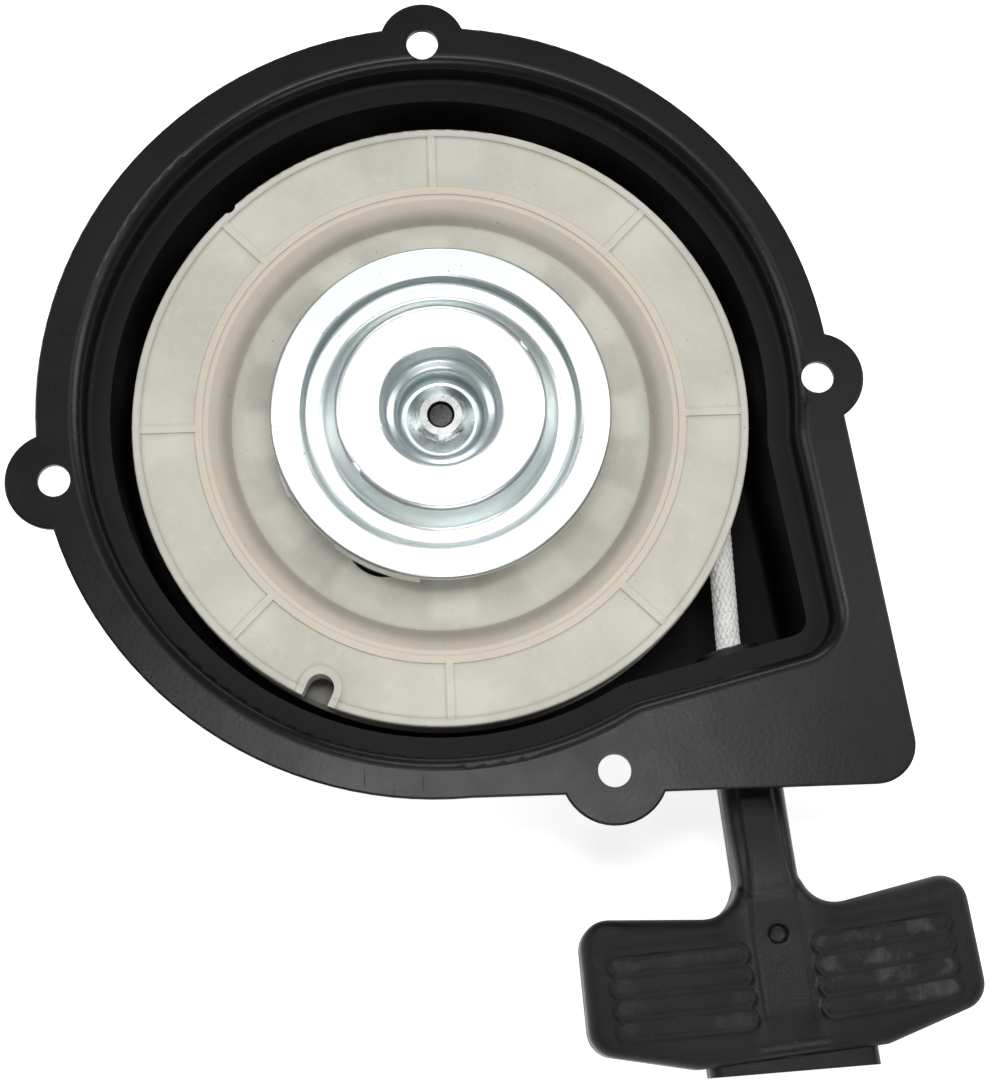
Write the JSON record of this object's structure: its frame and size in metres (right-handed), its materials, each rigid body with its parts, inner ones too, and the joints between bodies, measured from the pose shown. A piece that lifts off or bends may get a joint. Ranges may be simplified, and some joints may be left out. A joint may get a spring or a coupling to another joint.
{
  "type": "recoil starter",
  "caption": "Pull-cord starter with a pressed steel housing, sprung rope reel, friction plate with swinging pawls, and a T-shaped pull handle.",
  "frame": {"origin": "on the reel's axis, in the plane of the mounting flange's engine-side face", "axes": "+Z out of the open side, towards the engine; +Y away from the pull handle; +X to the side that the rope leaves the reel on"},
  "size_m": [0.2079, 0.2346, 0.048],
  "materials": {
    "case_paint": "satin black paint",
    "zinc_plate": "bright zinc plate",
    "plain_steel": "machined steel",
    "dark_steel": "dark oiled spring steel",
    "bush_bronze": "sintered bronze",
    "reel_nylon": "off-white moulded nylon",
    "guide_plastic": "black moulded nylon",
    "handle_plastic": "black moulded plastic, satin",
    "rope_braid": "white diamond braid"
  },
  "bodies": {
    "housing": {"housing_case": "case_paint", "shaft_base_plate": "plain_steel", "center_shaft": "plain_steel", "shaft_rivets": "plain_steel", "flange_nut": "zinc_plate", "rope_guide": "guide_plastic", "guide_eyelet": "zinc_plate"},
    "reel": {"rope_reel": "reel_nylon", "reel_bush": "bush_bronze", "thrust_washer": "plain_steel", "spring_cover": "plain_steel", "cover_screws": "zinc_plate", "power_spring": "dark_steel", "rope_winding": "rope_braid", "reel_rope_knot": "rope_braid", "pawl_pins": "plain_steel", "pawl_spring_1": "dark_steel", "pawl_spring_2": "dark_steel"},
    "plate": {"friction_plate": "zinc_plate", "friction_spring": "dark_steel"},
    "pawl_one": {"pawl_1": "plain_steel"},
    "pawl_two": {"pawl_2": "plain_steel"},
    "pull_rope": {"rope_run": "rope_braid", "rope_end_knot": "rope_braid", "rope_washer": "zinc_plate"},
    "handle": {"handle_grip": "handle_plastic", "handle_cap": "handle_plastic"}
  },
  "joints": [
    {"name": "reel_spin", "type": "hinge", "parent": "housing", "child": "reel", "pos_m": [0, 0, 0], "axis": [0, 0, -1], "range_deg": [0, 1080], "stiffness_Nm_per_rad": 0.02, "springref_deg": -687.55, "deforming": ["power_spring"]},
    {"name": "plate_drag", "type": "hinge", "parent": "reel", "child": "plate", "pos_m": [0, 0, 0], "axis": [0, 0, 1], "range_deg": [0, 10], "stiffness_Nm_per_rad": 0.02, "springref_deg": -11.46},
    {"name": "pawl_1_swing", "type": "hinge", "parent": "reel", "child": "pawl_one", "pos_m": [-0.0122, -0.0256, -0.0072], "axis": [0, 0, 1], "range_deg": [0, 13.5], "deforming": ["pawl_spring_1"]},
    {"name": "pawl_2_swing", "type": "hinge", "parent": "reel", "child": "pawl_two", "pos_m": [0.0122, 0.0256, -0.0072], "axis": [0, 0, 1], "range_deg": [0, 13.5], "deforming": ["pawl_spring_2"]},
    {"name": "handle_pull", "type": "slide", "parent": "housing", "child": "pull_rope", "axis": [0.1305, -0.9914, 0], "range_m": [0, 1.024], "deforming": ["rope_run"]},
    {"name": "handle_swivel", "type": "hinge", "parent": "pull_rope", "child": "handle", "pos_m": [0.07113, -0.11261, -0.0182], "axis": [0.1305, -0.9914, 0], "continuous": true}
  ],
  "couplings": [
    {"joint": "handle_pull", "follows": "reel_spin", "m_per_rad": 0.05425},
    {"joint": "pawl_1_swing", "follows": "plate_drag", "ratio": 1.35},
    {"joint": "pawl_2_swing", "follows": "plate_drag", "ratio": 1.35}
  ]
}
